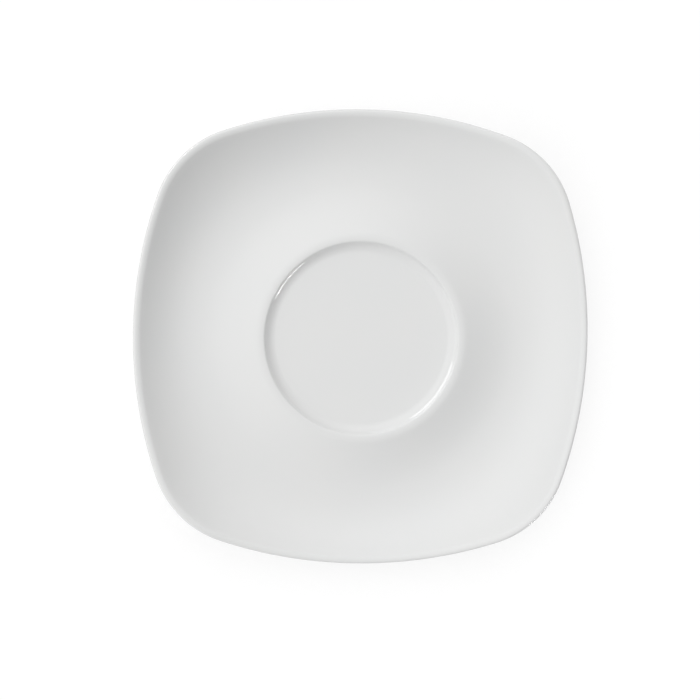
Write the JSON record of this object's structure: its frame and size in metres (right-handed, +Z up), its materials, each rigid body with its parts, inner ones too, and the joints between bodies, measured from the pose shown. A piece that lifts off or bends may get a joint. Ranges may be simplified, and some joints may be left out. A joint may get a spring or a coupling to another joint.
{
  "type": "saucer",
  "caption": "Rounded-square saucer of white glazed porcelain, with a rising rim, a round recessed well that a cup stands in, and a bare foot ring underneath.",
  "frame": {"origin": "on the table, under the middle of the saucer", "axes": "+Z up out of the cup well; the four sides face +X, -X, +Y and -Y"},
  "size_m": [0.155, 0.155, 0.0172],
  "materials": {
    "porcelain": "fired, matte, under the glaze",
    "bare_foot": "bare fired porcelain, ground flat",
    "glaze": "glossy clear glaze over white porcelain"
  },
  "bodies": {
    "root": {"well_floor": "porcelain", "collar": "porcelain", "lower_rim": "porcelain", "upper_rim": "porcelain", "foot_ring": "bare_foot", "upper_glaze": "glaze", "underside_glaze": "glaze", "recess_glaze": "glaze"}
  },
  "joints": []
}
